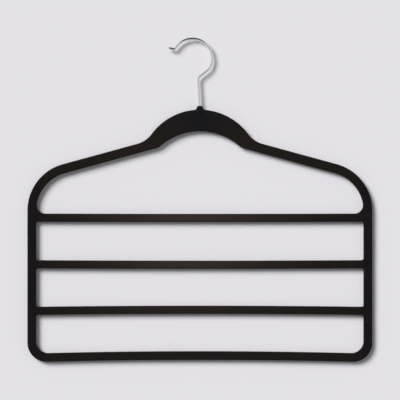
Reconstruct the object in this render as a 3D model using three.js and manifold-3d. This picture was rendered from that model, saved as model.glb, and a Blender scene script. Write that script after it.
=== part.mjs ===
// Multi tier trouser hanger: a flocked one-piece frame with four bars, on a swivelling wire hook.
// Millimetres, +Z up, front facing -Y. The origin is the point of the hook that rests on the rail
// straight above the frame's centre line, which is also the axis that the hook swivels on.
import * as THREE from 'three';
import { mergeVertices } from 'three/addons/utils/BufferGeometryUtils.js';
import Module from 'manifold-3d';

const wasm = await Module();
wasm.setup();

// Frame, measured over its flock
const frameWidth = 445;
const frameThickness = 5.6;
const edgeRoundShare = 0.4;

// Coat: a pile of short fibres on a film of adhesive, which is the gap between coat and core
const pileDepth = 0.4;
const adhesiveDepth = 0.3;

// Arched neck
const archRadius = 77.4;
const archUndersideRadius = 77.4;
const archDepth = 28;
const archFilletRadius = 34;
const kneeRadius = 8;

// Sloping arms and their shoulders
const armSlopeDegrees = 15.3;
const armPeakDrop = 22;
const armDepth = 12;
const shoulderRadius = 62;

// Rails and bars, counted from the top; the bow is how far a bar's middle rises above its ends
const railWidth = 11.3;
const firstBarDrop = 139.5;
const barPitch = 60.1;
const barDepth = 10.6;
const bottomBarDepth = 11.3;
const barBows = [-0.3, -0.6, 1.4, 2.4];
const barCount = barBows.length;

// Corners of the windows and of the frame's foot
const windowCornerRadius = 2.5;
const topWindowCornerRadius = 11;
const footWindowCornerRadius = 15.5;
const footRadius = 24.5;

// Wire hook, in the order in which the wire is bent from its shank to its tip
const wireDiameter = 3.2;
const shankDepth = 14;
const leanRadius = 12;
const leanDegrees = 3.3;
const stemLength = 32.6;
const crankRadius = 4;
const crankDegrees = 54;
const diagonalLength = 13.5;
const throatRadius = 13.7;
const throatDegrees = 26.6;
const loopRadius = 25.5;
const loopDegrees = 172;
const tipRadius = 3.4;
const tipDegrees = 71;
const tipLength = 5.6;
const wireEndChamfer = 0.5;

// Ring groove near the shank's end
const headLength = 2.4;
const grooveLength = 2.4;
const grooveDepth = 0.7;

// Knob and socket that hold the shank, with a rib that snaps into the groove
const runningClearance = 0.3;
const socketWall = 1.8;
const socketEndWall = 0.9;
const knobRise = 5.4;
const knobRoundRadius = 2;
const fairingTail = 6;
const mouthLeadIn = 0.25;

// How finely round stretches are divided: the sag of a facet, and the turn of the wire at a facet
const facetSag = 0.06;
const wireFacetDegrees = 9;
const barFacets = 7;
const edgeFacets = 3;
const hiddenEdgeFacets = 2;
const wireSides = 16;
const socketSides = 24;
const knobFacets = 5;

// Cutters run this far past what they cut
const overrun = 1;

const wireRadius = wireDiameter / 2;
const boreRadius = wireRadius + runningClearance;
const coatDepth = pileDepth + adhesiveDepth;
const knobRadius = boreRadius + socketWall + coatDepth;
const halfWidth = frameWidth / 2;
const innerHalfWidth = halfWidth - railWidth;
const armSlope = THREE.MathUtils.degToRad(armSlopeDegrees);
const quarterTurn = Math.PI / 2;

// Solids

function solidFrom(geometry) {
  const bare = geometry.index ? geometry.toNonIndexed() : geometry.clone();
  bare.deleteAttribute('normal');
  bare.deleteAttribute('uv');
  const merged = mergeVertices(bare);
  return new wasm.Manifold(new wasm.Mesh({
    numProp: 3,
    vertProperties: new Float32Array(merged.attributes.position.array),
    triVerts: new Uint32Array(merged.index.array),
  }));
}

function meshFrom(name, solid, material) {
  const { vertProperties, triVerts } = solid.getMesh();
  const geometry = new THREE.BufferGeometry();
  geometry.setAttribute('position', new THREE.BufferAttribute(vertProperties, 3));
  geometry.setIndex(new THREE.BufferAttribute(triVerts, 1));
  geometry.computeVertexNormals();
  const mesh = new THREE.Mesh(geometry, material);
  mesh.name = name;
  return mesh;
}

// A revolved solid about Z, from a profile of (radius, height) points
function revolved(profile, sides) {
  const geometry = new THREE.LatheGeometry(profile, sides);
  geometry.rotateX(quarterTurn);
  return geometry;
}

function profilePoints(pairs) {
  return pairs.map(([radius, height]) => new THREE.Vector2(radius, height));
}

// Wire route

function headingAt(angle) {
  return new THREE.Vector3(Math.cos(angle), 0, Math.sin(angle));
}

// Adds a bend's stations to the wire, to the left for positive degrees, and returns its centre
function addBend(wire, radius, degrees) {
  const side = Math.sign(degrees) * quarterTurn;
  const turn = THREE.MathUtils.degToRad(degrees);
  const { point, angle } = wire[wire.length - 1];
  const centre = point.clone().addScaledVector(headingAt(angle + side), radius);
  const count = Math.ceil(Math.abs(degrees) / wireFacetDegrees);
  for (let i = 1; i <= count; i += 1) {
    const turned = angle + turn * i / count;
    wire.push({ point: centre.clone().addScaledVector(headingAt(turned - side), radius), angle: turned });
  }
  return centre;
}

function addStraight(wire, length) {
  const { point, angle } = wire[wire.length - 1];
  wire.push({ point: point.clone().addScaledVector(headingAt(angle), length), angle });
}

// A curve through the stations alone, so that the sweep has one ring at each of them
class WireRoute extends THREE.Curve {
  constructor(stations) {
    super();
    this.stations = stations;
  }

  stationAt(t) {
    return this.stations[Math.round(t * (this.stations.length - 1))];
  }

  getPoint(t, target = new THREE.Vector3()) {
    return target.copy(this.stationAt(t).point);
  }

  getTangent(t, target = new THREE.Vector3()) {
    return target.copy(headingAt(this.stationAt(t).angle));
  }

  getUtoTmapping(u) {
    return u;
  }
}

const stations = [{ point: new THREE.Vector3(), angle: quarterTurn }];
addStraight(stations, shankDepth);
addBend(stations, leanRadius, leanDegrees);
addStraight(stations, stemLength);
addBend(stations, crankRadius, -crankDegrees);
addStraight(stations, diagonalLength);
addBend(stations, throatRadius, throatDegrees);
const loopCentre = addBend(stations, loopRadius, loopDegrees);
addBend(stations, tipRadius, -tipDegrees);
addStraight(stations, tipLength);

// The rail seat is where the swivel axis meets the inside of the loop, and the origin is there
const seatRadius = loopRadius - wireRadius;
const seatHeight = loopCentre.z + Math.sqrt(seatRadius ** 2 - loopCentre.x ** 2);
const shankEnd = -seatHeight;
const mouth = shankEnd + shankDepth;
const archTop = mouth - knobRise;
const knobCentre = mouth - knobRadius;
const socketEnd = shankEnd - runningClearance;
const fairingEnd = socketEnd - fairingTail;
for (const { point } of stations) point.z += shankEnd;

// Hook

function wireSection() {
  const corners = [];
  for (let i = 0; i < wireSides; i += 1) {
    const angle = 2 * Math.PI * i / wireSides;
    corners.push(new THREE.Vector2(Math.cos(angle), Math.sin(angle)).multiplyScalar(wireRadius));
  }
  return new THREE.Shape(corners);
}

// A ring that takes the sharp rim off a wire end, which faces along the heading
function endTrimmer(point, heading) {
  const ring = revolved(profilePoints([
    [wireRadius - wireEndChamfer - overrun, overrun],
    [wireRadius + overrun, -wireEndChamfer - overrun],
    [wireRadius + overrun, overrun],
    [wireRadius - wireEndChamfer - overrun, overrun],
  ]), wireSides);
  const up = new THREE.Vector3(0, 0, 1);
  ring.applyQuaternion(new THREE.Quaternion().setFromUnitVectors(up, heading));
  ring.translate(point.x, point.y, point.z);
  return solidFrom(ring);
}

const grooveBottom = shankEnd + headLength;
const grooveTop = grooveBottom + grooveLength;
const grooveRadius = wireRadius - grooveDepth;

function grooveCutter() {
  return solidFrom(revolved(profilePoints([
    [grooveRadius, grooveBottom],
    [wireRadius + overrun, grooveBottom],
    [wireRadius + overrun, grooveTop],
    [grooveRadius, grooveTop],
    [grooveRadius, grooveBottom],
  ]), wireSides));
}

function swivelHook() {
  const wire = new THREE.ExtrudeGeometry(wireSection(), {
    steps: stations.length - 1,
    bevelEnabled: false,
    extrudePath: new WireRoute(stations),
  });
  const shank = stations[0];
  const tip = stations[stations.length - 1];
  return solidFrom(wire)
    .subtract(grooveCutter())
    .subtract(endTrimmer(shank.point, headingAt(shank.angle).negate()))
    .subtract(endTrimmer(tip.point, headingAt(tip.angle)));
}

// Frame outline, drawn with its height along the shape's Y

const square = quarterTurn - armSlope;

// Points of an arc about a centre, anticlockwise where the second angle is the larger
function arc(centre, radius, from, to) {
  const facetTurn = 2 * Math.acos(1 - facetSag / radius);
  const count = Math.ceil(Math.abs(to - from) / facetTurn);
  const points = [];
  for (let i = 0; i <= count; i += 1) {
    const angle = from + (to - from) * i / count;
    const arm = new THREE.Vector2(Math.cos(angle), Math.sin(angle));
    points.push(arm.multiplyScalar(radius).add(centre));
  }
  return points;
}

function mirrored(points) {
  return points.map((point) => new THREE.Vector2(-point.x, point.y)).reverse();
}

// The arms' upper edges, drawn on, meet at a peak below the arch's top; a lift is square to the edge
function armHeight(x, lift) {
  return archTop - armPeakDrop + lift / Math.cos(armSlope) - x * Math.tan(armSlope);
}

// Half of the arch's top, from the knob's side to the right: a small round and then the arch
function crownHalf({ archCentre, archRadius: radius }, toRound) {
  const reach = radius + knobRoundRadius;
  const near = knobRadius + knobRoundRadius;
  const rise = knobCentre - archCentre.y;
  const lean = Math.acos((reach ** 2 + rise ** 2 - near ** 2) / (2 * reach * rise));
  const centre = new THREE.Vector2(Math.sin(lean), Math.cos(lean)).multiplyScalar(reach).add(archCentre);
  const toKnob = Math.atan2(knobCentre - centre.y, -centre.x);
  return [
    ...arc(centre, knobRoundRadius, toKnob, -quarterTurn - lean),
    ...arc(archCentre, radius, quarterTurn - lean, toRound),
  ];
}

const outerEdge = {
  archCentre: new THREE.Vector2(0, archTop - archRadius),
  archRadius,
  roundRadius: archFilletRadius,
  lift: 0,
  shoulderRadius,
  side: halfWidth,
  crown(toRound) {
    const half = crownHalf(this, toRound);
    return [...mirrored(half), ...half];
  },
};

const innerEdge = {
  archCentre: new THREE.Vector2(0, archTop - archDepth - archUndersideRadius),
  archRadius: archUndersideRadius,
  roundRadius: kneeRadius,
  lift: -armDepth,
  shoulderRadius: shoulderRadius - armDepth,
  side: innerHalfWidth,
  crown(toRound) {
    return arc(this.archCentre, this.archRadius, Math.PI - toRound, toRound);
  },
};

// The centre of the round between an arch and the right arm: it touches both from above
function archRoundCentre({ archCentre, archRadius: radius, roundRadius, lift }) {
  const along = new THREE.Vector2(Math.cos(armSlope), -Math.sin(armSlope));
  const start = new THREE.Vector2(0, armHeight(0, lift + roundRadius)).sub(archCentre);
  const middle = start.dot(along);
  const reach = radius + roundRadius;
  const run = Math.sqrt(middle ** 2 - start.lengthSq() + reach ** 2) - middle;
  return start.addScaledVector(along, run).add(archCentre);
}

function barEdge(bar, height, end) {
  const points = [];
  for (let i = 1; i < barFacets; i += 1) {
    const x = end * (1 - 2 * i / barFacets);
    points.push(new THREE.Vector2(x, height + barBows[bar] * (1 - (x / end) ** 2)));
  }
  return points;
}

// An outline under an arch: round, shoulder and lower corner on each side, and a bar's edge between.
// The lower corner rides on the shoulder where the two overlap, and on the straight side elsewhere.
function archedOutline(edge, bar, floor, cornerRadius) {
  const round = archRoundCentre(edge);
  const toRound = round.clone().sub(edge.archCentre).angle();
  const shoulderX = edge.side - edge.shoulderRadius;
  const shoulder = new THREE.Vector2(shoulderX, armHeight(shoulderX, edge.lift - edge.shoulderRadius));
  const reach = edge.shoulderRadius - cornerRadius;
  const turn = Math.asin(Math.max(floor + cornerRadius - shoulder.y, 0) / reach);
  const corner = new THREE.Vector2(shoulder.x + reach * Math.cos(turn), floor + cornerRadius);
  const right = [
    ...arc(round, edge.roundRadius, toRound + Math.PI, square + Math.PI),
    ...arc(shoulder, edge.shoulderRadius, square, turn),
    ...arc(corner, cornerRadius, turn, -quarterTurn),
  ];
  return [
    ...edge.crown(toRound),
    ...right,
    ...barEdge(bar, floor, corner.x),
    ...mirrored(right),
  ];
}

const lastBar = barCount - 1;

function barTop(bar) {
  return archTop - firstBarDrop - bar * barPitch + depthOf(bar) / 2;
}

function depthOf(bar) {
  return bar === lastBar ? bottomBarDepth : barDepth;
}

// The window between a bar and the one above it
function lowerWindow(bar) {
  const floor = barTop(bar);
  const head = barTop(bar - 1) - depthOf(bar - 1);
  const floorRadius = bar === lastBar ? footWindowCornerRadius : windowCornerRadius;
  const floorCorner = new THREE.Vector2(innerHalfWidth - floorRadius, floor + floorRadius);
  const headCorner = new THREE.Vector2(innerHalfWidth - windowCornerRadius, head - windowCornerRadius);
  const right = [
    ...arc(headCorner, windowCornerRadius, quarterTurn, 0),
    ...arc(floorCorner, floorRadius, 0, -quarterTurn),
  ];
  return [
    ...right,
    ...barEdge(bar, floor, floorCorner.x),
    ...mirrored(right),
    ...barEdge(bar - 1, head, headCorner.x).reverse(),
  ];
}

// The outline runs clockwise, and its windows the other way round
const windows = [archedOutline(innerEdge, 0, barTop(0), topWindowCornerRadius)];
for (let bar = 1; bar < barCount; bar += 1) windows.push(lowerWindow(bar));
const foot = barTop(lastBar) - bottomBarDepth;
const outline = new THREE.Shape(archedOutline(outerEdge, lastBar, foot, footRadius));
outline.holes = windows.map((points) => new THREE.Path(points.reverse()));

// Frame solids, each drawn in from the finished surface by an inset

// The flat moulding with its rounded edges
function plate(inset, facets) {
  const round = edgeRoundShare * frameThickness - inset;
  const halfThickness = frameThickness / 2 - inset;
  const geometry = new THREE.ExtrudeGeometry(outline, {
    depth: 2 * (halfThickness - round),
    bevelThickness: round,
    bevelSize: round,
    bevelOffset: -round - inset,
    bevelSegments: facets,
  });
  geometry.translate(0, 0, round - halfThickness);
  geometry.rotateX(quarterTurn);
  return solidFrom(geometry);
}

// The domed knob, faired into the plate around the socket
function knob(inset) {
  const radius = knobRadius - inset;
  const profile = [
    [0, fairingEnd],
    [boreRadius + socketEndWall + coatDepth - inset, socketEnd],
  ];
  for (let i = 0; i < knobFacets; i += 1) {
    const angle = quarterTurn * i / knobFacets;
    profile.push([radius * Math.cos(angle), knobCentre + radius * Math.sin(angle)]);
  }
  profile.push([0, knobCentre + radius]);
  return solidFrom(revolved(profilePoints(profile), socketSides));
}

function frameBody(inset, facets) {
  return plate(inset, facets).add(knob(inset));
}

// The hollow that the shank turns in: a bore, the rib that fills the groove, and a wider mouth
function socketCutter() {
  const ribBottom = grooveBottom + runningClearance;
  const ribTop = grooveTop - runningClearance;
  const ribRadius = grooveRadius + runningClearance;
  const lip = mouth - coatDepth;
  return solidFrom(revolved(profilePoints([
    [0, socketEnd],
    [boreRadius, socketEnd],
    [boreRadius, ribBottom],
    [ribRadius, ribBottom],
    [ribRadius, (ribBottom + ribTop) / 2],
    [boreRadius, ribTop],
    [boreRadius, lip - mouthLeadIn],
    [boreRadius + mouthLeadIn, lip],
    [boreRadius + mouthLeadIn, mouth + overrun],
    [0, mouth + overrun],
  ]), socketSides));
}

const black = new THREE.MeshStandardMaterial({ color: 0x16161a, roughness: 0.55, metalness: 0 });
const velvet = new THREE.MeshStandardMaterial({ color: 0x211e1e, roughness: 0.95, metalness: 0 });
const chrome = new THREE.MeshStandardMaterial({ color: 0xc8cacd, roughness: 0.12, metalness: 1 });

const frameCore = frameBody(coatDepth, hiddenEdgeFacets).subtract(socketCutter());
const velvetCoat = frameBody(0, edgeFacets)
  .subtract(frameBody(pileDepth, hiddenEdgeFacets))
  .subtract(socketCutter());

const group = new THREE.Group();
group.add(meshFrom('frame_core', frameCore, black));
group.add(meshFrom('velvet_coat', velvetCoat, velvet));
group.add(meshFrom('swivel_hook', swivelHook(), chrome));

export default group;
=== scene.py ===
# Multi tier trouser hanger: a black flocked frame with four bars on a swivelling chrome wire hook.
# Metres, +Z up, front facing -Y. Sizes are written in millimetres times mm.
import math

import bpy
import numpy as np
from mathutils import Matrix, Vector, geometry, noise


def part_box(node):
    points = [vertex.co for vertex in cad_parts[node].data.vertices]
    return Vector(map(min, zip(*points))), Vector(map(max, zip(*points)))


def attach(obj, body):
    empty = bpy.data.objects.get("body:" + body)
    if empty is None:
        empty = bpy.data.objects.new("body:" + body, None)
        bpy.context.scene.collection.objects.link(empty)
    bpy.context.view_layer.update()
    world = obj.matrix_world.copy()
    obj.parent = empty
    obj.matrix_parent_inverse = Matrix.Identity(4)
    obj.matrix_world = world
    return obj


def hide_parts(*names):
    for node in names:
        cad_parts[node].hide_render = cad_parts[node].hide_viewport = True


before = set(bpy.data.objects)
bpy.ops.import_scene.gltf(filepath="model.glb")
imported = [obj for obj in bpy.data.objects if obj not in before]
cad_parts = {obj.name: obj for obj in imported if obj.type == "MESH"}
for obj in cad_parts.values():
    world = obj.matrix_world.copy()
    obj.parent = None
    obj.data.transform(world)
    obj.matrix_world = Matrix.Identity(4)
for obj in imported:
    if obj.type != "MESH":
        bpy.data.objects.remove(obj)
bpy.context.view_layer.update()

mm = 0.001
quarterTurn = math.pi / 2
sharpAngle = math.radians(50)    # an edge where the surface turns more than this looks sharp
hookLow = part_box("swivel_hook")[0]
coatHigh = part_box("velvet_coat")[1]
print("frame loaded")


# Colours and nodes

# An sRGB hex colour as linear light, with an alpha of 1
def linear(hexColour):
    channels = [int(hexColour[i:i + 2], 16) / 255 for i in (1, 3, 5)]
    return [c / 12.92 if c <= 0.04045 else ((c + 0.055) / 1.055) ** 2.4 for c in channels] + [1]


# An input is either a value or another node's output, which is linked
def addNode(tree, kind, settings={}, inputs={}):
    node = tree.nodes.new("ShaderNode" + kind)
    for name, value in settings.items():
        setattr(node, name, value)
    for socket, value in inputs.items():
        if isinstance(value, bpy.types.NodeSocket):
            tree.links.new(value, node.inputs[socket])
        else:
            node.inputs[socket].default_value = value
    return node


def newMaterial(name):
    material = bpy.data.materials.new(name)
    material.use_nodes = True
    tree = material.node_tree
    return material, tree, tree.nodes["Principled BSDF"]


# Moulded ABS: dense black plastic with the fine dull grain of the mould, only seen down in the socket
mouldedAbs = {
    "colour": "#1c1c1e",
    "roughness": (0.42, 0.55),
    "grain": 0.8 * mm,
    "grainDetail": 3,
    "grainDepth": 0.02 * mm,
    "grainStrength": 0.4,
}


def mouldedAbsMaterial():
    material, tree, shader = newMaterial("mouldedAbs")
    place = addNode(tree, "TexCoord").outputs["Object"]
    grain = addNode(tree, "TexNoise", inputs={
        "Vector": place, "Scale": 1 / mouldedAbs["grain"], "Detail": mouldedAbs["grainDetail"]})
    low, high = mouldedAbs["roughness"]
    rough = addNode(tree, "MapRange", inputs={"Value": grain.outputs["Fac"], "To Min": low, "To Max": high})
    bump = addNode(tree, "Bump", inputs={
        "Height": grain.outputs["Fac"],
        "Strength": mouldedAbs["grainStrength"],
        "Distance": mouldedAbs["grainDepth"]})
    shader.inputs["Base Color"].default_value = linear(mouldedAbs["colour"])
    tree.links.new(rough.outputs["Result"], shader.inputs["Roughness"])
    tree.links.new(bump.outputs["Normal"], shader.inputs["Normal"])
    return material


# Nylon flock, shot upright into wet glue by static: deep matt black that drinks light, with a soft
# sheen at the edges and a fine grain of fibre tips. The rails stay a neutral black. The arms and bars,
# which hands and clothes rub, turn brownish. Over the middle of the bars a lighter, warmer patch is a
# painted highlight: it stands for the soft reflection of a lamp near the camera.
# The top of the arch, where nothing hangs, is fresh and a cooler black.
nylonFlock = {
    "pile": "#0f0e10",
    "rubbed": "#1b1711",
    "leaning": "#1b1417",
    # painted highlight: the lighter, warmer pile colour that stands for a lamp's soft reflection on the bars
    "paintedHighlight": "#342c28",
    "fresh": "#141518",
    "rubbedWithin": (214 * mm, 196 * mm),     # from the middle of the frame: where it starts and is full
    # where the painted highlight is centred, and how far it spreads
    "paintedHighlightMiddle": (-14 * mm, -250 * mm),   # along and up
    "paintedHighlightReach": (112 * mm, 90 * mm),
    "freshMiddle": (0, -101 * mm),
    "freshReach": (26 * mm, 24 * mm),
    "leaningPattern": (26 * mm, 3, (0, 0.8)),   # size, detail, and the share at its least and its most
    "mottlePattern": (5 * mm, 2, (0.5, 1)),
    "tuftPattern": (0.9 * mm, 4, (0.5, 1.5)),   # fibres are 0.02 mm thick, so far coarser tufts are drawn
    "noiseRoughness": 0.65,
    "noiseSpan": (0.32, 0.68),                  # nearly all values of a noise lie between these
    "tuftDepth": 0.25 * mm,
    "tuftStrength": 0.6,
    "lint": "#8f8985",
    "lintPitch": 9 * mm,
    "lintRadius": 0.5 * mm,
    "lintShare": 0.2,
    "roughness": 0.92,
    "specular": 0.15,
    "sheen": 0.2,
    "sheenRoughness": 0.4,
    "sheenTint": "#8a8080",
}


def nylonFlockMaterial():
    material, tree, shader = newMaterial("nylonFlock")
    place = addNode(tree, "TexCoord").outputs["Object"]
    share = {}

    # Where the pile leans, how it is mottled and how bright each tuft is
    start, end = nylonFlock["noiseSpan"]
    for name in ("leaning", "mottle", "tuft"):
        size, detail, (low, high) = nylonFlock[name + "Pattern"]
        pattern = addNode(tree, "TexNoise", inputs={
            "Vector": place, "Scale": 1 / size, "Detail": detail, "Roughness": nylonFlock["noiseRoughness"]})
        share[name] = addNode(tree, "MapRange", inputs={
            "Value": pattern.outputs["Fac"],
            "From Min": start, "From Max": end, "To Min": low, "To Max": high}).outputs["Result"]

    # The painted highlight is strongest in the middle of the bars, and the top of the arch is fresh, each
    # fading like a bell
    for name in ("paintedHighlight", "fresh"):
        middleX, middleZ = nylonFlock[name + "Middle"]
        reachX, reachZ = nylonFlock[name + "Reach"]
        off = addNode(tree, "VectorMath", {"operation": "SUBTRACT"}, {0: place, 1: (middleX, 0, middleZ)})
        scaled = addNode(tree, "VectorMath", {"operation": "MULTIPLY"}, {
            0: off.outputs["Vector"], 1: (1 / reachX, 0, 1 / reachZ)})
        square = addNode(tree, "VectorMath", {"operation": "DOT_PRODUCT"}, {
            0: scaled.outputs["Vector"], 1: scaled.outputs["Vector"]})
        falling = addNode(tree, "Math", {"operation": "MULTIPLY"}, {0: square.outputs["Value"], 1: -1})
        bell = addNode(tree, "Math", {"operation": "EXPONENT"}, {0: falling.outputs["Value"]})
        share[name] = bell.outputs["Value"]

    # Rubbed everywhere but on the rails
    along = addNode(tree, "SeparateXYZ", inputs={0: place})
    aside = addNode(tree, "Math", {"operation": "ABSOLUTE"}, {0: along.outputs["X"]})
    start, full = nylonFlock["rubbedWithin"]
    inward = addNode(tree, "MapRange", {"interpolation_type": "SMOOTHSTEP"}, {
        "Value": aside.outputs["Value"], "From Min": start, "From Max": full})
    rubbed = addNode(tree, "Math", {"operation": "MULTIPLY"}, {
        0: inward.outputs["Result"], 1: share["mottle"]})
    share["rubbed"] = rubbed.outputs["Value"]

    # Specks of lint: a few cells of a scatter hold one each
    scatter = addNode(tree, "TexVoronoi", inputs={"Vector": place, "Scale": 1 / nylonFlock["lintPitch"]})
    near = addNode(tree, "Math", {"operation": "LESS_THAN"}, {
        0: scatter.outputs["Distance"], 1: nylonFlock["lintRadius"] / nylonFlock["lintPitch"]})
    chosen = addNode(tree, "Math", {"operation": "LESS_THAN"}, {
        0: scatter.outputs["Color"], 1: nylonFlock["lintShare"]})
    speck = addNode(tree, "Math", {"operation": "MULTIPLY"}, {
        0: near.outputs["Value"], 1: chosen.outputs["Value"]})

    # Each wear, and the painted highlight on the bars, is laid over the pile's own colour, and the tufts
    # shade them all
    colour = linear(nylonFlock["pile"])
    for name in ("rubbed", "leaning", "paintedHighlight", "fresh"):
        colour = addNode(tree, "Mix", {"data_type": "RGBA"}, {
            "Factor": share[name], "A": colour, "B": linear(nylonFlock[name])}).outputs["Result"]
    grained = addNode(tree, "VectorMath", {"operation": "SCALE"}, {0: colour, "Scale": share["tuft"]})
    linted = addNode(tree, "Mix", {"data_type": "RGBA"}, {
        "Factor": speck.outputs["Value"], "A": grained.outputs["Vector"], "B": linear(nylonFlock["lint"])})
    bump = addNode(tree, "Bump", inputs={
        "Height": share["tuft"],
        "Strength": nylonFlock["tuftStrength"],
        "Distance": nylonFlock["tuftDepth"]})

    tree.links.new(linted.outputs["Result"], shader.inputs["Base Color"])
    tree.links.new(bump.outputs["Normal"], shader.inputs["Normal"])
    shader.inputs["Roughness"].default_value = nylonFlock["roughness"]
    shader.inputs["Specular IOR Level"].default_value = nylonFlock["specular"]
    shader.inputs["Sheen Weight"].default_value = nylonFlock["sheen"]
    shader.inputs["Sheen Roughness"].default_value = nylonFlock["sheenRoughness"]
    shader.inputs["Sheen Tint"].default_value = linear(nylonFlock["sheenTint"])
    return material


# Chrome, plated on drawn and polished steel wire: a cold mirror with very slight waves and wipe marks
chromePlate = {
    "colour": "#cac8cc",
    "roughness": (0.07, 0.16),
    "wipeMark": 2.6 * mm,
    "wipeDetail": 4,
    "wipeSpan": (0.3, 0.7),      # between these values of the noise the roughness changes
    "wave": 5 * mm,
    "waveDetail": 1,
    "waveDepth": 0.03 * mm,
    "waveStrength": 0.3,
}


def chromePlateMaterial():
    material, tree, shader = newMaterial("chromePlate")
    place = addNode(tree, "TexCoord").outputs["Object"]
    wipe = addNode(tree, "TexNoise", inputs={
        "Vector": place, "Scale": 1 / chromePlate["wipeMark"], "Detail": chromePlate["wipeDetail"]})
    wave = addNode(tree, "TexNoise", inputs={
        "Vector": place, "Scale": 1 / chromePlate["wave"], "Detail": chromePlate["waveDetail"]})
    start, end = chromePlate["wipeSpan"]
    low, high = chromePlate["roughness"]
    rough = addNode(tree, "MapRange", inputs={
        "Value": wipe.outputs["Fac"], "From Min": start, "From Max": end, "To Min": low, "To Max": high})
    bump = addNode(tree, "Bump", inputs={
        "Height": wave.outputs["Fac"],
        "Strength": chromePlate["waveStrength"],
        "Distance": chromePlate["waveDepth"]})
    shader.inputs["Base Color"].default_value = linear(chromePlate["colour"])
    shader.inputs["Metallic"].default_value = 1
    tree.links.new(rough.outputs["Result"], shader.inputs["Roughness"])
    tree.links.new(bump.outputs["Normal"], shader.inputs["Normal"])
    return material


# Meshes

def meshObject(name, vertices, faces):
    mesh = bpy.data.meshes.new(name)
    mesh.from_pydata([tuple(v) for v in vertices], [], faces)
    mesh.update()
    made = bpy.data.objects.new(name, mesh)
    bpy.context.scene.collection.objects.link(made)
    return made


# Joins rings of equal length into a tube. The last two points, one on the axis at each end, close it.
def tubeFaces(ringCount, sides):
    faces = []
    for ring in range(ringCount - 1):
        for side in range(sides):
            a, b = ring * sides + side, ring * sides + (side + 1) % sides
            faces.append((a, b, b + sides, a + sides))
    firstTip, lastTip = ringCount * sides, ringCount * sides + 1
    last = (ringCount - 1) * sides
    for side in range(sides):
        following = (side + 1) % sides
        faces.append((firstTip, following, side))
        faces.append((lastTip, last + side, last + following))
    return faces


# A solid turned about Z from (radius, height) pairs that start and end on the axis, bottom first
def turned(name, profile, sides):
    rings = profile[1:-1]
    vertices = []
    for radius, height in rings:
        for side in range(sides):
            angle = 2 * math.pi * side / sides
            vertices.append((radius * math.cos(angle), radius * math.sin(angle), height))
    vertices += [(0, 0, profile[0][1]), (0, 0, profile[-1][1])]
    return meshObject(name, vertices, tubeFaces(len(rings), sides))


def combine(base, operation, other):
    modifier = base.modifiers.new("combine", "BOOLEAN")
    modifier.operation = operation
    modifier.solver = "MANIFOLD"
    modifier.object = other
    bpy.context.view_layer.update()
    evaluated = base.evaluated_get(bpy.context.evaluated_depsgraph_get())
    base.data = bpy.data.meshes.new_from_object(evaluated)
    base.modifiers.clear()
    bpy.data.objects.remove(other)
    return base


def dress(piece, material, body, node):
    piece.data.materials.clear()
    piece.data.materials.append(material)
    piece.data.shade_smooth()
    piece.data.set_sharp_from_angle(angle=sharpAngle)
    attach(piece, body)
    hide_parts(node)


# Wire hook, bent from one length of wire: its route runs from the shank's end to the tip
hook = {
    "wire": 3.2 * mm,
    "shankDepth": 14 * mm,
    "route": [                       # a straight's length, or a bend's radius and its degrees to the left
        (14 * mm,), (12 * mm, 3.3), (32.6 * mm,),                        # shank, lean and stem
        (4 * mm, -54), (13.5 * mm,), (13.7 * mm, 26.6),                  # crank, out to the right
        (25.5 * mm, 172), (3.4 * mm, -71), (5.6 * mm,),                  # loop, and the flicked tip
    ],
    "sides": 40,
    "bendStep": 2.5,                 # degrees
    "straightStep": 2 * mm,
    "ringGap": 0.3 * mm,             # plain rings keep this clear of those at the groove and the ends
    "endRound": 0.55 * mm,
    "endRoundSteps": 6,
    "grooveFrom": 2.4 * mm,          # from the shank's end, round which the socket's rib lies
    "grooveTo": 4.8 * mm,
    "grooveDepth": 0.7 * mm,
}


# Every station is (distance along the wire, point, heading in the XZ plane)
def wireStations():
    point, angle, distance = Vector((0, 0, hookLow.z)), quarterTurn, 0
    stations = [(distance, point.copy(), angle)]
    for step in hook["route"]:
        if len(step) == 1:
            count = math.ceil(step[0] / hook["straightStep"])
            heading = Vector((math.cos(angle), 0, math.sin(angle)))
            for i in range(1, count + 1):
                run = step[0] * i / count
                stations.append((distance + run, point + heading * run, angle))
            distance += step[0]
        else:
            radius, turn = step[0], math.radians(step[1])
            side = math.copysign(quarterTurn, turn)
            centre = point + radius * Vector((math.cos(angle + side), 0, math.sin(angle + side)))
            count = math.ceil(abs(step[1]) / hook["bendStep"])
            for i in range(1, count + 1):
                at = angle + turn * i / count
                offset = Vector((math.cos(at - side), 0, math.sin(at - side)))
                stations.append((distance + radius * abs(turn) * i / count, centre + radius * offset, at))
            angle += turn
            distance += radius * abs(turn)
        point = stations[-1][1]
    return stations


# Point and heading at any distance along the wire
def placeOnWire(stations, distance):
    i = np.searchsorted([station[0] for station in stations], distance)
    i = min(max(i, 1), len(stations) - 1)
    (d0, p0, a0), (d1, p1, a1) = stations[i - 1], stations[i]
    share = (distance - d0) / (d1 - d0)
    return p0.lerp(p1, share), a0 + (a1 - a0) * share


# Where the wire's radius changes, as (distance, radius) pairs: rounded start, groove and rounded end
def wireWidths(length):
    radius, endRound = hook["wire"] / 2, hook["endRound"]
    neck = radius - hook["grooveDepth"]
    angles = [quarterTurn * i / hook["endRoundSteps"] for i in range(hook["endRoundSteps"])]
    start = [(endRound * (1 - math.sin(a)), radius - endRound * (1 - math.cos(a))) for a in reversed(angles)]
    groove = [(hook["grooveFrom"], radius), (hook["grooveFrom"], neck),
              (hook["grooveTo"], neck), (hook["grooveTo"], radius)]
    return start, groove, [(length - d, r) for d, r in reversed(start)]


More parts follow.
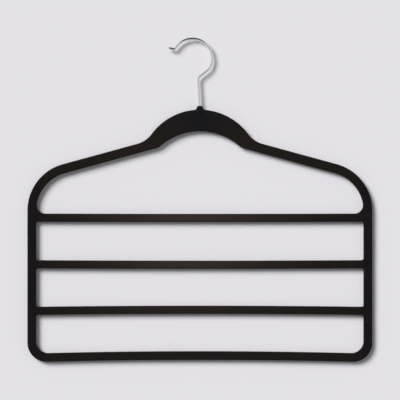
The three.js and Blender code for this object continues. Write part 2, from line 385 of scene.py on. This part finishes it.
def wireHook():
    stations = wireStations()
    start, groove, end = wireWidths(stations[-1][0])
    shaped = start + groove + end
    plain = []
    for distance, _, _ in stations:
        inGroove = hook["grooveFrom"] < distance < hook["grooveTo"]
        clear = all(abs(distance - taken) > hook["ringGap"] for taken, _ in shaped)
        if clear and not inGroove and start[-1][0] < distance < end[0][0]:
            plain.append((distance, hook["wire"] / 2))
    rings = sorted(shaped + plain, key=lambda pair: pair[0])

    vertices = []
    for distance, radius in rings:
        point, angle = placeOnWire(stations, distance)
        across = Vector((math.sin(angle), 0, -math.cos(angle)))
        for side in range(hook["sides"]):
            turn = 2 * math.pi * side / hook["sides"]
            vertices.append(point + radius * (math.cos(turn) * across + math.sin(turn) * Vector((0, 1, 0))))
    vertices += [stations[0][1], stations[-1][1]]
    return meshObject("wire_hook", vertices, tubeFaces(len(rings), hook["sides"]))


# Flocked frame. Outlines are drawn in the XZ plane, as arrays of (x, z).
coat = {
    "thickness": 5.6 * mm,
    "edgeRound": 2.24 * mm,
    "pile": 0.4 * mm,
    "glue": 0.3 * mm,
    "archRadius": 77.4 * mm,
    "archDepth": 28 * mm,        # at the arch's middle, from top to underside
    "archFillet": 34 * mm,       # the hollow round from arch to arm
    "knee": 8 * mm,              # the same on the underside
    "armSlope": math.radians(15.3),
    "armPeakDrop": 22 * mm,      # from the arch's top down to where the arms' lines would meet
    "armDepth": 12 * mm,
    "shoulder": 62 * mm,
    "rail": 11.3 * mm,
    "firstBarDrop": 139.5 * mm,  # from the arch's top down to the first bar's middle
    "barPitch": 60.1 * mm,
    "barDepths": [10.6 * mm, 10.6 * mm, 10.6 * mm, 11.3 * mm],
    "barBows": [-0.3 * mm, -0.6 * mm, 1.4 * mm, 2.4 * mm],    # how far each bar's middle stands up
    "windowCorner": 2.5 * mm,
    "topWindowCorner": 11 * mm,
    "footWindowCorner": 15.5 * mm,
    "foot": 24.5 * mm,
    "knobRise": 5.4 * mm,
    "knobRound": 2 * mm,
    "knobTaper": 2.2,            # the power that slims the knob where it fairs into the moulding
    "fairing": 6 * mm,           # how far the knob runs on below its socket
    "socketWall": 1.8 * mm,
    "clearance": 0.3 * mm,
    "mouthLeadIn": 0.25 * mm,
    "mouldSeam": 0.06 * mm,      # how far the seam round the edge stands out under the flock
    "pileUneven": 0.05 * mm,     # how far the pile's surface rises and falls
    "pilePatch": 6 * mm,
    "pileWaves": (0.9, 2.1, 2),  # how fast finer waves die away, how much finer each is, and how many
    "spacing": 1.7 * mm,         # between the points of an outline
    "tightestTurn": math.radians(10),
    "edgeSteps": 6,
    "facePitch": 2.2 * mm,       # between the points on the front and back faces
    "innerSpacing": 5 * mm,      # between outline points on the hidden inside of the coat
    "innerEdgeSteps": 2,
    "samePoint": 0.01 * mm,
    "knobSides": 64,
}

halfWidth = coatHigh.x
shankEnd = hookLow.z
mouth = shankEnd + hook["shankDepth"]
archTop = mouth - coat["knobRise"]
boreRadius = hook["wire"] / 2 + coat["clearance"]
coatDepth = coat["pile"] + coat["glue"]
knobRadius = boreRadius + coat["socketWall"] + coatDepth
knobCentre = mouth - knobRadius
lastBar = len(coat["barDepths"]) - 1

outerEdge = {
    "arch": Vector((0, archTop - coat["archRadius"])),
    "round": coat["archFillet"],
    "lift": 0,
    "shoulder": coat["shoulder"],
    "side": halfWidth,
}
innerEdge = {
    "arch": Vector((0, archTop - coat["archDepth"] - coat["archRadius"])),
    "round": coat["knee"],
    "lift": -coat["armDepth"],
    "shoulder": coat["shoulder"] - coat["armDepth"],
    "side": halfWidth - coat["rail"],
}


def arc(centre, radius, start, end, spacing):
    turn = abs(end - start)
    count = max(math.ceil(turn * radius / spacing), math.ceil(turn / coat["tightestTurn"]), 1)
    angles = np.linspace(start, end, count + 1)
    return np.column_stack([centre[0] + radius * np.cos(angles), centre[1] + radius * np.sin(angles)])


def mirrored(points):
    return (points * (-1, 1))[::-1]


# Height of the line that an arm's edge follows; a lift moves it square to itself
def armHeight(x, lift):
    slope = coat["armSlope"]
    return archTop - coat["armPeakDrop"] + lift / math.cos(slope) - x * math.tan(slope)


# The round between arch and arm touches both from above
def archRoundCentre(edge):
    slope = coat["armSlope"]
    along = Vector((math.cos(slope), -math.sin(slope)))
    start = Vector((0, armHeight(0, edge["lift"] + edge["round"]))) - edge["arch"]
    middle, reach = start.dot(along), coat["archRadius"] + edge["round"]
    run = math.sqrt(middle ** 2 - start.length_squared + reach ** 2) - middle
    return edge["arch"] + start + along * run


# From right to left along a bar's upper or lower edge, without its ends
def barEdge(bar, height, end, spacing):
    x = np.linspace(end, -end, math.ceil(2 * end / spacing))[1:-1]
    return np.column_stack([x, height + coat["barBows"][bar] * (1 - (x / end) ** 2)])


# From the middle to the right: over the knob's inside, down a small round and along the arch
def crownHalf(edge, toRound, spacing):
    small = coat["knobRound"]
    reach, near = coat["archRadius"] + small, knobRadius + small
    rise = knobCentre - edge["arch"].y
    lean = math.acos((reach ** 2 + rise ** 2 - near ** 2) / (2 * reach * rise))
    centre = edge["arch"] + reach * Vector((math.sin(lean), math.cos(lean)))
    toKnob = math.atan2(knobCentre - centre.y, -centre.x)
    return np.concatenate([
        arc((0, knobCentre), knobRadius, quarterTurn, toKnob + math.pi, spacing),
        arc(centre, small, toKnob, -quarterTurn - lean, spacing),
        arc(edge["arch"], coat["archRadius"], quarterTurn - lean, toRound, spacing)])


# Clockwise: crown, round, shoulder and lower corner on the right, the bar's edge, and back up the left
def archedOutline(edge, bar, floor, cornerRadius, spacing):
    centre = archRoundCentre(edge)
    fromArch = centre - edge["arch"]
    toRound = math.atan2(fromArch.y, fromArch.x)
    shoulderX = edge["side"] - edge["shoulder"]
    shoulder = Vector((shoulderX, armHeight(shoulderX, edge["lift"] - edge["shoulder"])))
    reach = edge["shoulder"] - cornerRadius
    turn = math.asin(max(floor + cornerRadius - shoulder.y, 0) / reach)
    corner = Vector((shoulder.x + reach * math.cos(turn), floor + cornerRadius))
    square = quarterTurn - coat["armSlope"]
    right = np.concatenate([
        arc(centre, edge["round"], toRound + math.pi, square + math.pi, spacing),
        arc(shoulder, edge["shoulder"], square, turn, spacing),
        arc(corner, cornerRadius, turn, -quarterTurn, spacing)])
    if edge is outerEdge:
        half = crownHalf(edge, toRound, spacing)
        crown = np.concatenate([mirrored(half), half])
    else:
        crown = arc(edge["arch"], coat["archRadius"], math.pi - toRound, toRound, spacing)
    return np.concatenate([crown, right, barEdge(bar, floor, corner.x, spacing), mirrored(right)])


def barTop(bar):
    return archTop - coat["firstBarDrop"] - bar * coat["barPitch"] + coat["barDepths"][bar] / 2


# Clockwise round the window that stands on a bar and ends under the one above
def lowerWindow(bar, spacing):
    floor, head = barTop(bar), barTop(bar - 1) - coat["barDepths"][bar - 1]
    headRound = coat["windowCorner"]
    floorRound = coat["footWindowCorner"] if bar == lastBar else headRound
    side = innerEdge["side"]
    right = np.concatenate([
        arc((side - headRound, head - headRound), headRound, quarterTurn, 0, spacing),
        arc((side - floorRound, floor + floorRound), floorRound, 0, -quarterTurn, spacing)])
    return np.concatenate([
        right, barEdge(bar, floor, side - floorRound, spacing), mirrored(right),
        barEdge(bar - 1, head, side - headRound, spacing)[::-1]])


# Adds points on straight stretches and drops those that repeat
def spaced(points, spacing):
    dense = []
    for start, end in zip(points, np.roll(points, -1, axis=0)):
        gap = np.hypot(*(end - start))
        if gap > coat["samePoint"]:
            count = max(math.ceil(gap / spacing - 0.5), 1)
            dense += [start + (end - start) * i / count for i in range(count)]
    return np.array(dense)


# The outline anticlockwise and its windows clockwise, so that the frame is to the left of each
def frameLoops(spacing):
    foot = barTop(lastBar) - coat["barDepths"][lastBar]
    outline = archedOutline(outerEdge, lastBar, foot, coat["foot"], spacing)[::-1]
    windows = [archedOutline(innerEdge, 0, barTop(0), coat["topWindowCorner"], spacing)]
    windows += [lowerWindow(bar, spacing) for bar in range(1, lastBar + 1)]
    return [spaced(points, spacing) for points in [outline] + windows]


# Moves a loop into the frame, square to itself
def drawnIn(loop, distance):
    along = np.roll(loop, -1, axis=0) - np.roll(loop, 1, axis=0)
    along /= np.hypot(*along.T)[:, None]
    return loop + distance * np.column_stack([-along[:, 1], along[:, 0]])


# A point is in the frame when a line to its right crosses the loops an odd number of times
def insideLoops(points, loops):
    starts = np.concatenate(loops)
    ends = np.concatenate([np.roll(loop, -1, axis=0) for loop in loops])
    slanting = starts[:, 1] != ends[:, 1]
    starts, ends = starts[slanting], ends[slanting]
    slope = (ends[:, 0] - starts[:, 0]) / (ends[:, 1] - starts[:, 1])
    mostAtOnce = 2000       # keeps the tables of crossings small
    found = []
    for some in np.array_split(points, len(points) // mostAtOnce + 1):
        x, z = some[:, :1], some[:, 1:]
        spans = (starts[:, 1] > z) != (ends[:, 1] > z)
        right = x < starts[:, 0] + (z - starts[:, 1]) * slope
        found.append((spans & right).sum(axis=1) % 2 == 1)
    return np.concatenate(found)


# Points of a triangular grid that lie well inside the loops
def gridInside(loops, pitch):
    low, high = np.concatenate(loops).min(axis=0), np.concatenate(loops).max(axis=0)
    half = pitch / 2
    rows = []
    for i, z in enumerate(np.arange(low[1], high[1], pitch * math.sqrt(3) / 2)):
        x = np.arange(low[0] + half * (i % 2), high[0], pitch)
        rows.append(np.column_stack([x, np.full_like(x, z)]))
    grid = np.concatenate(rows)
    for shift in ((0, 0), (half, 0), (-half, 0), (0, half), (0, -half)):
        grid = grid[insideLoops(grid + shift, loops)]
    return grid


# The flat moulding with rounded edges, as one closed mesh, drawn in by an inset
def plate(name, inset, spacing, edgeSteps, pitch, seam):
    loops = frameLoops(spacing)
    edgeRound = coat["edgeRound"] - inset
    side = coat["thickness"] / 2 - inset - edgeRound
    angles = [quarterTurn * i / edgeSteps for i in range(edgeSteps, -1, -1)]
    front = [(inset + edgeRound * (1 - math.cos(a)), -side - edgeRound * math.sin(a)) for a in angles]
    profile = front + [(inset - seam, 0)] + [(d, -y) for d, y in reversed(front)]

    # Each loop's edge, from the front face round to the back
    vertices, faces, firstRings, lastRings = [], [], [], []
    for loop in loops:
        count, base = len(loop), len(vertices)
        for distance, y in profile:
            vertices += [(x, y, z) for x, z in drawnIn(loop, distance)]
        for ring in range(len(profile) - 1):
            for i in range(count):
                a, b = base + ring * count + i, base + ring * count + (i + 1) % count
                faces.append((a, a + count, b + count, b))
        firstRings += range(base, base + count)
        lastRings += range(len(vertices) - count, len(vertices))

    # One pattern of triangles within the rims, for the front face and the back one
    rims = [drawnIn(loop, profile[0][0]) for loop in loops]
    grid = gridInside(rims, pitch) if pitch else np.zeros((0, 2))
    edges, base = [], 0
    for loop in rims:
        edges += [(base + i, base + (i + 1) % len(loop)) for i in range(len(loop))]
        base += len(loop)
    points = [Vector(p) for p in np.concatenate(rims + [grid])]
    withinOutline, tolerance = 1, 1e-7
    placed, _, triangles, sources, _, _ = geometry.delaunay_2d_cdt(
        points, edges, [], withinOutline, tolerance)
    corners = np.array([[placed[i][:] for i in triangle] for triangle in triangles])
    inFrame = insideLoops(corners.mean(axis=1), rims)
    onFront = firstRings + list(range(len(vertices), len(vertices) + len(grid)))
    vertices += [(x, profile[0][1], z) for x, z in grid]
    onBack = lastRings + list(range(len(vertices), len(vertices) + len(grid)))
    vertices += [(x, profile[-1][1], z) for x, z in grid]
    for triangle, kept in zip(triangles, inFrame):
        if kept:
            a, b, c = [sources[i][0] for i in triangle]
            faces.append((onFront[a], onFront[b], onFront[c]))
            faces.append((onBack[c], onBack[b], onBack[a]))
    return meshObject(name, vertices, faces)


# The domed knob round the socket, faired into the moulding below it
def knob(name, inset):
    radius, steps = knobRadius - inset, coat["knobSides"] // 4
    tail = shankEnd - coat["clearance"] - coat["fairing"]
    length = knobCentre - tail
    profile = [(0, tail)]
    for i in range(1, steps):
        share = 1 - (i / steps) ** 2
        profile.append((radius * math.sqrt(1 - share ** coat["knobTaper"]), knobCentre - share * length))
    for i in range(steps):
        angle = quarterTurn * i / steps
        profile.append((radius * math.cos(angle), knobCentre + radius * math.sin(angle)))
    return turned(name, profile + [(0, knobCentre + radius)], coat["knobSides"])


# The blind bore for the shank, a little wider at its mouth
def shankBore(name):
    lip = mouth - coatDepth
    floor = shankEnd - coat["clearance"]
    leadRadius, past = boreRadius + coat["mouthLeadIn"], mouth + coat["clearance"]
    return turned(name, [
        (0, floor), (boreRadius, floor), (boreRadius, lip - coat["mouthLeadIn"]),
        (leadRadius, lip), (leadRadius, past), (0, past),
    ], coat["knobSides"])


# The pile doesn't stand quite even, so its surface rises and falls a little in patches
def unsettle(piece):
    points = [vertex.co.copy() for vertex in piece.data.vertices]
    normals = [vertex.vector.copy() for vertex in piece.data.vertex_normals]
    for vertex, point, normal in zip(piece.data.vertices, points, normals):
        rise = noise.fractal(point / coat["pilePatch"], *coat["pileWaves"])
        vertex.co = point + normal * coat["pileUneven"] * rise
    piece.data.update()


def flockCoat():
    outer = plate("flock_coat", 0, coat["spacing"], coat["edgeSteps"], coat["facePitch"], coat["mouldSeam"])
    print("  frame outline:", len(outer.data.vertices), "points")
    boss = knob("boss", 0)
    unsettle(outer)
    unsettle(boss)
    combine(outer, "UNION", boss)
    under = plate("under", coat["pile"], coat["innerSpacing"], coat["innerEdgeSteps"], 0, 0)
    combine(under, "UNION", knob("under_boss", coat["pile"]))
    combine(outer, "DIFFERENCE", under)
    return combine(outer, "DIFFERENCE", shankBore("bore"))


coatPiece = flockCoat()
dress(coatPiece, nylonFlockMaterial(), "frame", "velvet_coat")
print("flocked coat:", len(coatPiece.data.polygons), "faces")

hookPiece = wireHook()
dress(hookPiece, chromePlateMaterial(), "hook", "swivel_hook")
print("wire hook:", len(hookPiece.data.polygons), "faces")

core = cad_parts["frame_core"]
core.data.materials.clear()
core.data.materials.append(mouldedAbsMaterial())
print("core material set")


# Studio: a pale paper sweep stands just behind the hanger, and a large soft light is up on its left
studio = {
    "paper": "#e4e2e7",
    "gapBehind": 1.6 * mm,            # from the knob, the thickest place, back to the paper
    "wallHeight": 3,                  # metres, as are the next two and the reach
    "wallFoot": -0.62,
    "bend": 0.25,
    "bendSteps": 16,
    "reach": 16,
    "keySlope": (-0.78, 0.7),         # how far a lamp is to the right and up, over how far it is in front
    "backSlope": (0.4, 0.5),          # the same, over how far it is behind
    "lightSpread": math.radians(31),
    "fill": 0.26,                     # share of the light that comes from all round
    "level": 1,
}


# Unit vector towards a lamp; its side is -1 in front of the hanger and 1 behind it
def towards(slope, side):
    return Vector((slope[0], side, slope[1])).normalized()


# The paper's colour divides out how squarely each lamp meets it, so that wall, bend and floor look alike
def paperMaterial(lamps):
    material = bpy.data.materials.new("palePaper")
    material.use_nodes = True
    tree = material.node_tree
    tree.nodes.clear()
    surface = addNode(tree, "NewGeometry")
    light = studio["fill"]
    for direction in lamps:
        facing = addNode(tree, "VectorMath", {"operation": "DOT_PRODUCT"}, {
            0: surface.outputs["Normal"], 1: direction / abs(direction.y)})
        fade = 2 * studio["lightSpread"] / math.pi / abs(direction.y)    # a wide lamp sets slowly
        lit = addNode(tree, "Math", {"operation": "SMOOTH_MAX"}, {0: facing.outputs["Value"], 1: 0, 2: fade})
        scaled = addNode(tree, "Math", {"operation": "MULTIPLY_ADD"}, {
            0: lit.outputs["Value"], 1: 1 - studio["fill"], 2: light})
        light = scaled.outputs["Value"]
    colour = addNode(tree, "VectorMath", {"operation": "DIVIDE"}, {0: linear(studio["paper"])[:3], 1: light})
    paper = addNode(tree, "BsdfDiffuse", inputs={"Color": colour.outputs["Vector"]})
    clear = addNode(tree, "BsdfTransparent")     # only the front shows, so the hanger's back can be seen
    mixed = addNode(tree, "MixShader", inputs={
        "Fac": surface.outputs["Backfacing"], 1: paper.outputs["BSDF"], 2: clear.outputs["BSDF"]})
    addNode(tree, "OutputMaterial", inputs={"Surface": mixed.outputs["Shader"]})
    return material


def paperSweep(lamps):
    wallY = coatHigh.y + studio["gapBehind"]
    profile = [(wallY, studio["wallHeight"])]
    for i in range(studio["bendSteps"] + 1):
        angle = quarterTurn * i / studio["bendSteps"]
        profile.append((wallY - studio["bend"] * (1 - math.cos(angle)),
                        studio["wallFoot"] - studio["bend"] * math.sin(angle)))
    profile.append((-studio["reach"], profile[-1][1]))
    half = studio["reach"] / 2
    vertices = [(x, y, z) for y, z in profile for x in (-half, half)]
    faces = [(2 * i, 2 * i + 2, 2 * i + 3, 2 * i + 1) for i in range(len(profile) - 1)]
    sweep = meshObject("paper_sweep", vertices, faces)
    sweep.data.shade_smooth()
    sweep.visible_diffuse = sweep.visible_glossy = sweep.visible_shadow = False
    sweep.data.materials.append(paperMaterial(lamps))


def softSun(name, direction):
    light = bpy.data.lights.new(name, "SUN")
    light.angle = studio["lightSpread"]
    light.energy = studio["level"] * math.pi * (1 - studio["fill"]) / abs(direction.y)
    lamp = bpy.data.objects.new(name, light)
    lamp.rotation_euler = direction.to_track_quat("Z", "Y").to_euler()
    lamp.visible_glossy = False
    bpy.context.scene.collection.objects.link(lamp)


# What the chrome mirrors: a pale room at the sides and below, and a dark ceiling overhead. Each span
# says where the dark ends and where the pale is full.
surroundings = {
    "pale": 1,
    "dark": 0.12,
    "lowered": (0.25, 1.25),      # looking down
    "leaning": (-0.4, 0.45),      # looking to a side, and less so up
    "sideOverUp": 1.6,
    "sideways": (0, 0.3),         # how far to a side the second of them takes over
}


def studioWorld():
    world = bpy.data.worlds.new("studio")
    world.use_nodes = True
    tree = world.node_tree
    tree.nodes.clear()

    direction = addNode(tree, "SeparateXYZ", inputs={0: addNode(tree, "TexCoord").outputs["Generated"]})
    aside = addNode(tree, "Math", {"operation": "ABSOLUTE"}, {0: direction.outputs["X"]})
    below = addNode(tree, "Math", {"operation": "MULTIPLY"}, {0: direction.outputs["Z"], 1: -1})
    leaning = addNode(tree, "Math", {"operation": "MULTIPLY_ADD"}, {
        0: aside.outputs["Value"], 1: surroundings["sideOverUp"], 2: below.outputs["Value"]})
    share = {}
    for name, amount in (("sideways", aside), ("lowered", below), ("leaning", leaning)):
        start, end = surroundings[name]
        share[name] = addNode(tree, "MapRange", {"interpolation_type": "SMOOTHSTEP"}, {
            "Value": amount.outputs["Value"], "From Min": start, "From Max": end}).outputs["Result"]
    paleness = addNode(tree, "Mix", {"data_type": "FLOAT"}, {
        "Factor": share["sideways"], "A": share["lowered"], "B": share["leaning"]})
    reflected = addNode(tree, "MapRange", inputs={
        "Value": paleness.outputs["Result"], "To Min": surroundings["dark"], "To Max": surroundings["pale"]})

    # The camera sees the paper's colour, metal sees the room, and the rest is filled with plain white
    path = addNode(tree, "LightPath")
    white = linear("#ffffff")
    fill = addNode(tree, "Background", inputs={"Color": white, "Strength": studio["fill"]})
    inMetal = addNode(tree, "Background", inputs={"Color": white, "Strength": reflected.outputs["Result"]})
    seen = addNode(tree, "Background", inputs={"Color": linear(studio["paper"])})
    fillOrMetal = addNode(tree, "MixShader", inputs={
        "Fac": path.outputs["Is Glossy Ray"],
        1: fill.outputs["Background"],
        2: inMetal.outputs["Background"]})
    total = addNode(tree, "MixShader", inputs={
        "Fac": path.outputs["Is Camera Ray"],
        1: fillOrMetal.outputs["Shader"],
        2: seen.outputs["Background"]})
    addNode(tree, "OutputWorld", inputs={"Surface": total.outputs["Shader"]})
    bpy.context.scene.world = world


# A long lens looks square on from afar, because the photograph shows no perspective
camera = {
    "lens": 200,
    "sensor": 36,
    "across": 516.3 * mm,                      # what the picture's width takes in at the hanger
    "middle": (0.2 * mm, -204.5 * mm),         # across and up
}


def studioCamera():
    data = bpy.data.cameras.new("camera")
    data.lens, data.sensor_width = camera["lens"], camera["sensor"]
    data.clip_end = 4 * studio["reach"]
    distance = camera["across"] * camera["lens"] / camera["sensor"]
    placed = bpy.data.objects.new("camera", data)
    placed.location = (camera["middle"][0], -distance, camera["middle"][1])
    placed.rotation_euler = (quarterTurn, 0, 0)
    bpy.context.scene.collection.objects.link(placed)
    bpy.context.scene.camera = placed


keyLight, backLight = towards(studio["keySlope"], -1), towards(studio["backSlope"], 1)
paperSweep([keyLight, backLight])
softSun("key", keyLight)
softSun("back", backLight)
studioWorld()
studioCamera()
bpy.context.scene.view_settings.view_transform = "Standard"
print("studio set")
